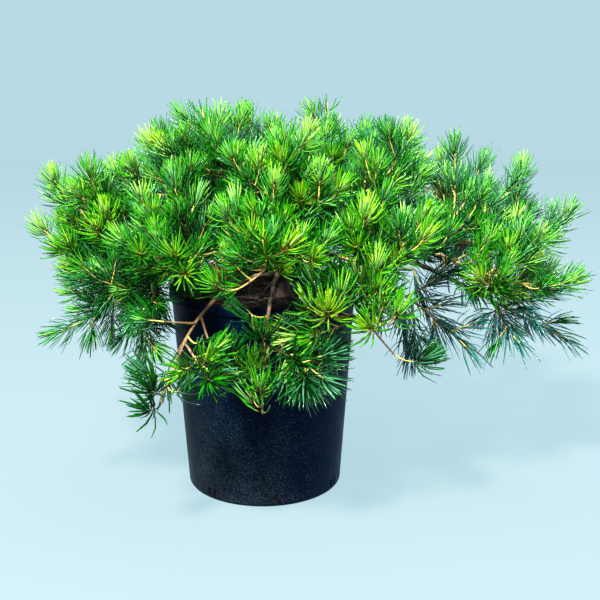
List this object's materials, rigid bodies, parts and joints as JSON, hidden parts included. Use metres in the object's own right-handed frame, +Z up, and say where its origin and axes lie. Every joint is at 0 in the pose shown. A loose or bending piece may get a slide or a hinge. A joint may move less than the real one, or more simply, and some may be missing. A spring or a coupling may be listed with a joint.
{
  "type": "potted banksia",
  "caption": "Dwarf spreading banksia shrub with needle-like leaves in dense tufts, growing in a round black plastic nursery pot that stands on its flat underside.",
  "frame": {"origin": "centre of the pot's flat underside, on the surface that it stands on", "axes": "+Z up, -Y towards the front of the plant, +X to the side of the longest boughs"},
  "size_m": [0.5992, 0.4504, 0.4207],
  "materials": {
    "pot_plastic": "satin",
    "potting_mix": "rough",
    "old_bark": "rough",
    "young_bark": "matte",
    "foliage": "satin"
  },
  "bodies": {
    "root": {"bough_back_far": "young_bark", "bough_back_high": "young_bark", "bough_back_left": "young_bark", "bough_back_left_low": "young_bark", "bough_back_low": "young_bark", "bough_back_right": "young_bark", "bough_back_right_far": "young_bark", "bough_front_hang_left": "young_bark", "bough_front_hang_right": "young_bark", "bough_front_mid": "young_bark", "bough_front_mid_left": "young_bark", "bough_front_mid_right": "young_bark", "bough_front_star": "young_bark", "bough_front_top": "young_bark", "bough_left_high": "young_bark", "bough_left_low": "young_bark", "bough_left_tip": "young_bark", "bough_right_far": "young_bark", "bough_right_hang": "young_bark", "bough_right_high": "young_bark", "bough_right_low": "young_bark", "bough_right_mid": "young_bark", "bough_top_left": "young_bark", "bough_top_mid": "young_bark", "bough_top_mid_left": "young_bark", "bough_top_right": "young_bark", "leaves_back_far": "foliage", "leaves_back_high": "foliage", "leaves_back_left": "foliage", "leaves_back_left_low": "foliage", "leaves_back_low": "foliage", "leaves_back_right": "foliage", "leaves_back_right_far": "foliage", "leaves_front_hang_left": "foliage", "leaves_front_hang_right": "foliage", "leaves_front_mid": "foliage", "leaves_front_mid_left": "foliage", "leaves_front_mid_right": "foliage", "leaves_front_star": "foliage", "leaves_front_top": "foliage", "leaves_left_high": "foliage", "leaves_left_low": "foliage", "leaves_left_tip": "foliage", "leaves_right_far": "foliage", "leaves_right_hang": "foliage", "leaves_right_high": "foliage", "leaves_right_low": "foliage", "leaves_right_mid": "foliage", "leaves_top_left": "foliage", "leaves_top_mid": "foliage", "leaves_top_mid_left": "foliage", "leaves_top_right": "foliage", "limb_back": "old_bark", "limb_front": "old_bark", "limb_left": "old_bark", "limb_right": "old_bark", "pot": "pot_plastic", "potting_mix": "potting_mix", "trunk": "old_bark"}
  },
  "joints": []
}
